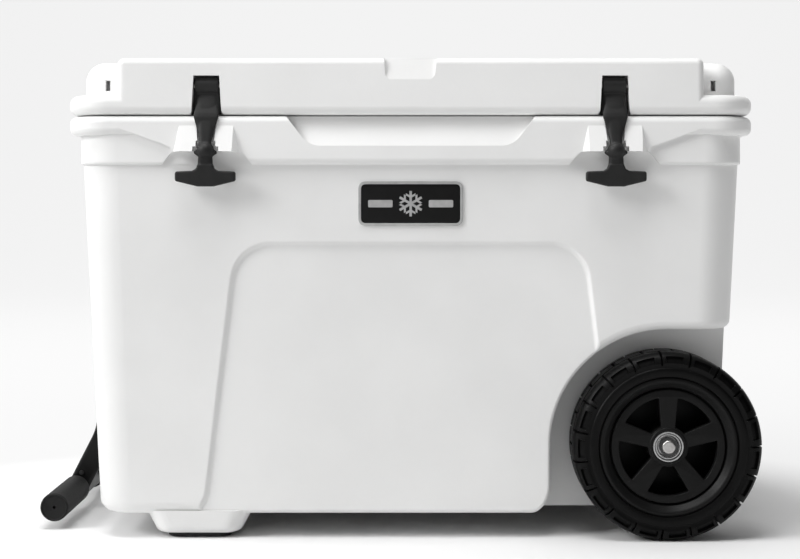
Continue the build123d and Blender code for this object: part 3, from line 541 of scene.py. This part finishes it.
def make_rim(end, outward):
    """A spoked rim with a spoke straight up, and a rib behind each spoke."""
    hub = turning_centre("wheel_rim_" + end)
    made = bmesh.new()
    for loop, corner in RIM_RINGS:
        turned_loop(made, loop, corner, 3, hub, RIM_SEGMENTS, outward)
    up = math.pi / 2
    windows = [wheel_window(up + PITCH_ANGLE * (i + 0.5)) for i in range(SPOKES)]
    plate = outline_piece([circle(SPOKE_PLATE_RADIUS, 120), *windows, circle(SPOKE_PLATE_HOLE, 60)],
                          SPOKE_PLATE_THICK * MM, SPOKE_PLATE_BEVEL * MM)
    add(made, plate, Matrix.Translation((hub.x, outward * SPOKE_PLATE_OUT * MM, hub.z)))
    long, deep, thick = RIB_SIZE
    for i in range(SPOKES):
        rib = bmesh.new()
        bmesh.ops.create_cube(rib, size=1.0)
        rib.transform(Matrix.Diagonal((long * MM, deep * MM, thick * MM, 1)))
        place = (Matrix.Translation((hub.x, outward * RIB_OUT * MM, hub.z))
                 @ Matrix.Rotation(-up - PITCH_ANGLE * i, 4, "Y")
                 @ Matrix.Translation((RIB_RADIUS * MM, 0, 0)))
        add(made, rib, place)
    new_piece("spoked_rim_" + end, made, LOOKS["wheel"], "wheel_" + end,
              ["wheel_rim_" + end])


def make_bearings(end, outward):
    """The bearing that shows, as a ring, a shield and an inner ring, and the one behind it."""
    hub = turning_centre("wheel_bearings_" + end)
    made = bmesh.new()
    for loop in BEARING_RINGS:
        turned_loop(made, loop, BEARING_CORNER, 2, hub, BEARING_SEGMENTS, outward)
    new_piece("hub_bearings_" + end, made, LOOKS["bearing"], "wheel_" + end,
              ["wheel_bearings_" + end])


# ---------------------------------------------------------------- latches

# The latch's parts are lofted through level sections, each a height, a distance along Y, a half
# width and a half depth in mm, and each part has the power of its section
STRAP = (
    (465, -224.6, 11.6, 4.0), (457, -227.4, 11.5, 4.0), (446, -231.4, 10.6, 3.9),
    (434, -235.2, 9.3, 3.8), (420, -239.4, 7.5, 3.7), (409, -242.2, 6.2, 3.8),
    (402, -243.3, 6.2, 4.6))
SKIRT = ((473, -224.4, 11.8, 6.2), (455, -225.0, 12.7, 6.2), (437.4, -226.0, 14.4, 6.0))
FLARE = ((446, -233.0, 10.8, 1.8), (438, -236.6, 12.7, 1.8), (434, -238.3, 12.7, 1.4),
         (428, -238.7, 11.0, 1.5), (421, -239.7, 8.9, 2.0), (414, -240.9, 7.3, 2.2))
STEM = ((400, -243.4, 6.4, 4.4), (391, -243.8, 7.5, 3.6), (381, -243.9, 7.9, 3.5),
        (374, -243.9, 8.6, 3.6))
SECTIONS = ((STRAP, 3.2), (SKIRT, 5.0), (FLARE, 3.4), (STEM, 3.0))
# The T pull's outline, each point a (distance from the middle, height)
PULL = ((-7.6, 386), (-9.4, 381.4), (-13, 379.3), (-29.4, 378.6), (-30.6, 377), (-30.6, 370),
        (-29.6, 368.6), (-8, 363.3), (8, 363.3), (29.6, 368.6), (30.6, 370), (30.6, 377),
        (29.4, 378.6), (13, 379.3), (9.4, 381.4), (7.6, 386))
PULL_Y, PULL_THICK, PULL_BEVEL = -243.8, 9.0, 1.6
BALL, BALL_RADIUS = (-243.4, 399.6), 8.9
# Lines of (radius, distance from the middle) that are turned about X: the wings on both sides
# of the ball, and the barrel round the pin
WINGS = ((0.0, -12.0), (1.2, -11.6), (4.9, -6.2), (5.4, 0.0), (4.9, 6.2), (1.2, 11.6),
         (0.0, 12.0))
WINGS_Z = BALL[1] - 1.8
BARREL = ((0.0, -12.1), (8.3, -12.1), (9.3, -11.2), (9.3, 11.2), (8.3, 12.1), (0.0, 12.1))
LATCH_VOXEL = 0.65 * MM
LATCH_SMOOTHING = (0.5, 5)  # factor and rounds
TURNED_SEGMENTS = 48


def turned_on_x(made, profile, centre):
    """Turns a line of (radius, x) in mm about X through centre."""
    part = bmesh.new()
    rings = []
    for step in range(TURNED_SEGMENTS):
        turn = 2 * math.pi * step / TURNED_SEGMENTS
        rings.append([part.verts.new((x * MM, r * MM * math.cos(turn), r * MM * math.sin(turn)))
                      for r, x in profile])
    join_rings(part, rings, closed=True, loop=False)
    bmesh.ops.remove_doubles(part, verts=part.verts, dist=1e-7)
    bmesh.ops.recalc_face_normals(part, faces=part.faces)
    add(made, part, Matrix.Translation(centre))


def make_latch(end):
    """One piece of rubber: its parts are melted together, then smoothed."""
    x = middle("latch_" + end).x
    pin = middle("latch_pin_" + end)
    made = bmesh.new()
    for rows, power in SECTIONS:
        part = bmesh.new()
        loft(part, [section(Vector((x, y * MM, z * MM)), wide * MM, deep * MM, power)
                    for z, y, wide, deep in rows])
        bmesh.ops.recalc_face_normals(part, faces=part.faces)
        add(made, part)
    pull = outline_piece([[(u * MM, z * MM) for u, z in PULL]], PULL_THICK * MM,
                         PULL_BEVEL * MM)
    bmesh.ops.recalc_face_normals(pull, faces=pull.faces)
    add(made, pull, Matrix.Translation((x, PULL_Y * MM, 0)))
    turned_on_x(made, BARREL, pin)
    turned_on_x(made, WINGS, (x, BALL[0] * MM, WINGS_Z * MM))
    ball = bmesh.new()
    bmesh.ops.create_uvsphere(ball, u_segments=48, v_segments=24, radius=BALL_RADIUS * MM)
    add(made, ball, Matrix.Translation((x, BALL[0] * MM, BALL[1] * MM)))
    mesh = bpy.data.meshes.new("rough_latch")
    made.to_mesh(mesh)
    made.free()
    rough = link(bpy.data.objects.new("rough_latch", mesh))
    melt = rough.modifiers.new("melt", "REMESH")
    melt.mode, melt.voxel_size = "VOXEL", LATCH_VOXEL
    soft = rough.modifiers.new("soft", "SMOOTH")
    soft.factor, soft.iterations = LATCH_SMOOTHING
    seen = rough.evaluated_get(bpy.context.evaluated_depsgraph_get())
    fused = bpy.data.meshes.new_from_object(seen)
    smooth = bmesh.new()
    smooth.from_mesh(fused)
    bpy.data.objects.remove(rough)
    bpy.data.meshes.remove(mesh)
    bpy.data.meshes.remove(fused)
    new_piece("rubber_latch_" + end, smooth, LOOKS["latch"], "latch_" + end,
              ["latch_" + end])


# ---------------------------------------------------------------- handle and plate

# Across the grip's wall: radius, and distance out from the handle's middle, in mm
GRIP_LOOP = ((1.4, 159.5), (1.4, 163.9), (12.4, 163.9), (12.9, 164.9), (13.7, 164.9),
             (14.7, 163.9), (15.0, 162.2), (15.0, 47.6), (14.2, 46.1), (10.7, 46.1),
             (10.7, 159.5))
GRIP_CORNER = 0.6
WALL_LEAN = math.atan2(15.5, 361.0)  # the front wall's run over its rise, in mm
PLATE_WIDE, PLATE_HIGH, PLATE_CORNER = 107.0, 45.5, 8
BORDER, FIELD_CORNER, FIELD_TUCKED = 2.8, 5, 0.5
BAR_WIDE, BAR_HIGH, BAR_CORNER, BAR_ASIDE = 25, 7.5, 1.5, 31
# The plate's layers, in mm: thickness, bevel and depth behind the plate's middle
FRAME_LAYER, FIELD_LAYER, MARK_LAYER = (1.8, 0.35, 0.0), (1.2, 0.2, 0.3), (0.5, 0.12, -0.5)
# The snow crystal, in mm: how far an arm reaches, half its width, and its pair of barbs
ARMS = 6
ARM_REACH, ARM_HALF = 13.0, 1.25
BARB_AT, BARB_LONG, BARB_WIDE = 6.4, 4.2, 2.3


def make_grip(end, outward):
    """A rubber sleeve on one end of the crossbar, closed but for a small hole at its outer end."""
    made = bmesh.new()
    bar = turning_centre("handle_crossbar")
    turned_loop(made, GRIP_LOOP, GRIP_CORNER, 3, bar, GRIP_SEGMENTS, outward)
    new_piece("soft_grip_" + end, made, LOOKS["grip"], "handle", ["grip_" + end])


def rounded_box(wide, high, corner, aside=0.0):
    """A rounded rectangle's outline in mm, moved aside along X."""
    half_x, half_z = wide / 2 * MM, high / 2 * MM
    line = soften([(-half_x, -half_z), (half_x, -half_z), (half_x, half_z), (-half_x, half_z)],
                  corner * MM, 8)
    return [(u + aside * MM, v) for u, v in line]


def snowflake():
    """A plain six-armed snow crystal, with a pair of barbs on each arm."""
    gap = 2 * math.pi / ARMS
    rise = BARB_LONG * math.sin(gap)
    run = BARB_LONG * math.cos(gap)
    side = [(BARB_AT, ARM_HALF), (BARB_AT + run, ARM_HALF + rise),
            (BARB_AT + run + BARB_WIDE, ARM_HALF + rise), (BARB_AT + BARB_WIDE, ARM_HALF),
            (ARM_REACH, ARM_HALF)]
    arm = [(u, -v) for u, v in side] + list(reversed(side))
    points = []
    for step in range(ARMS):
        notch = gap * step
        points.append((2 * ARM_HALF * math.cos(notch), 2 * ARM_HALF * math.sin(notch)))
        turn = notch + gap / 2
        c, s = math.cos(turn), math.sin(turn)
        points += [(u * c - v * s, u * s + v * c) for u, v in arm]
    return [(u * MM, v * MM) for u, v in points]


def make_plate():
    """A black plate in a grey frame, with a plain snow crystal between two bars."""
    place = Matrix.Translation(middle("nameplate")) @ Matrix.Rotation(WALL_LEAN, 4, "X")

    def lay(name, shapes, layer, look, stands_for=()):
        """A layer of shapes, each a list of outlines."""
        thickness, bevel, depth = layer
        made = bmesh.new()
        for outlines in shapes:
            add(made, outline_piece(outlines, thickness * MM, bevel * MM, 2))
        made.transform(place @ Matrix.Translation((0, depth * MM, 0)))
        new_piece(name, made, LOOKS[look], "chest", stands_for)

    wide, high = PLATE_WIDE - 2 * BORDER, PLATE_HIGH - 2 * BORDER
    frame_lines = [rounded_box(PLATE_WIDE, PLATE_HIGH, PLATE_CORNER),
                   rounded_box(wide, high, FIELD_CORNER)]
    field = rounded_box(wide + 2 * FIELD_TUCKED, high + 2 * FIELD_TUCKED, FIELD_CORNER)
    bars = [[rounded_box(BAR_WIDE, BAR_HIGH, BAR_CORNER, aside)]
            for aside in (-BAR_ASIDE, BAR_ASIDE)]
    lay("plate_frame", [frame_lines], FRAME_LAYER, "border", ["nameplate"])
    lay("plate_field", [[field]], FIELD_LAYER, "field")
    lay("plate_mark", [[snowflake()], *bars], MARK_LAYER, "border")


CAD_LOOKS = {
    "shell": ("body_shell", "lid_shell"),
    "foam": ("body_foam", "lid_foam"),
    "seal": ("lid_gasket", "drain_gasket"),
    "foot": ("foot_pad_front", "foot_pad_rear"),
    "arm": ("handle_arm_front", "handle_arm_rear"),
    "bar": ("handle_crossbar",),
    "black": ("handle_bushes", "handle_spacer", "handle_rod_caps", "drain_plug"),
    "steel": ("latch_pin_left", "latch_pin_right", "hinge_pin_left", "hinge_pin_right",
              "hinge_pin_screws", "axle", "wheel_spacers", "handle_pivot_rod",
              "foot_pad_screws"),
    # the axle clips are dark as painted shade of the recess round the axle; the handle screws are
    # dark steel
    "dark_steel_and_painted_shade": ("axle_clips", "handle_screws"),
}


def dress_cad():
    """Finishes for the CAD nodes that are shown as they are."""
    for look, names in CAD_LOOKS.items():
        for name in names:
            for held in NODES[name].material_slots:
                held.material = LOOKS[look]


make_camera()
make_floor()
make_lights()
LOOKS = make_materials()
dress_cad()
for end, outward in (("front", -1), ("rear", 1)):
    make_tyre(end, outward)
    make_rim(end, outward)
    make_bearings(end, outward)
    make_grip(end, outward)
for end in ("left", "right"):
    make_latch(end)
make_plate()
